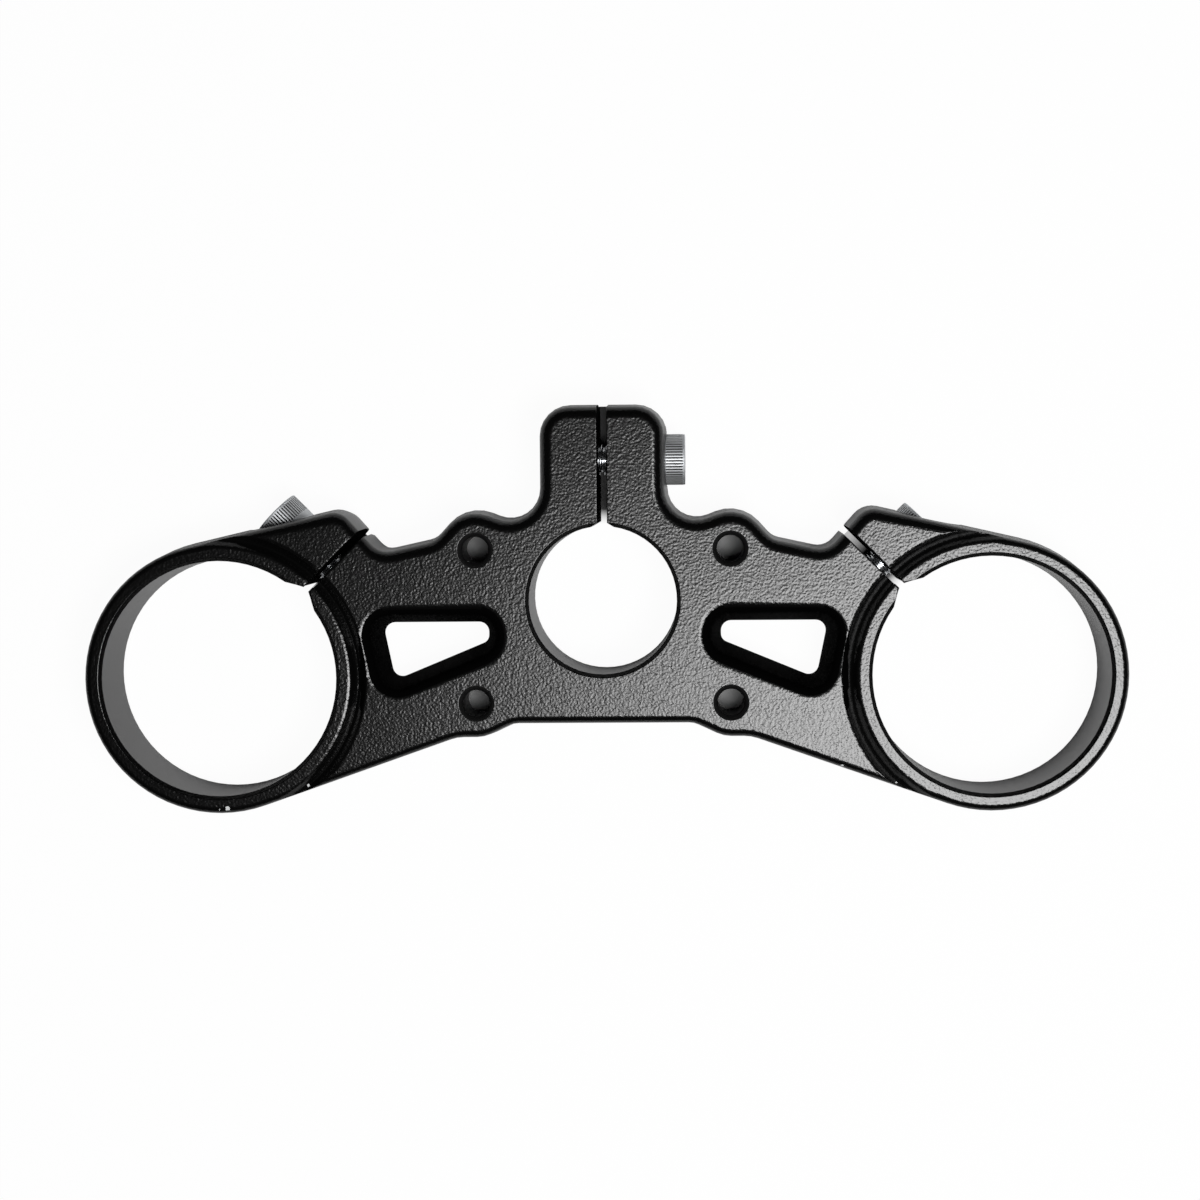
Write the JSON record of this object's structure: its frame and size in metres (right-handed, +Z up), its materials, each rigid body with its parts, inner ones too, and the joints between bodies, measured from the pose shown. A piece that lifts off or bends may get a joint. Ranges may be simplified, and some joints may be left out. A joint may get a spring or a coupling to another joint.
{
  "type": "motorcycle triple clamp",
  "caption": "Upper fork yoke with split clamps for both fork legs and the steering stem, tapped handlebar mount holes, lightening windows and socket head pinch bolts.",
  "frame": {"origin": "the steering stem's axis at the yoke's mid-height", "axes": "+Z up along the stem, +X from the left fork clamp to the right one, +Y from the stem towards the stem clamp's ear"},
  "size_m": [0.2664, 0.1043, 0.028],
  "materials": {
    "black_coat": "fine wrinkle black coat on forged aluminium, bare in a few nicks",
    "zinc_steel": "zinc plated steel, knurled heads"
  },
  "bodies": {
    "root": {"yoke": "black_coat", "stem_pinch_bolt": "zinc_steel", "left_fork_pinch_bolt": "zinc_steel", "right_fork_pinch_bolt": "zinc_steel"}
  },
  "joints": []
}
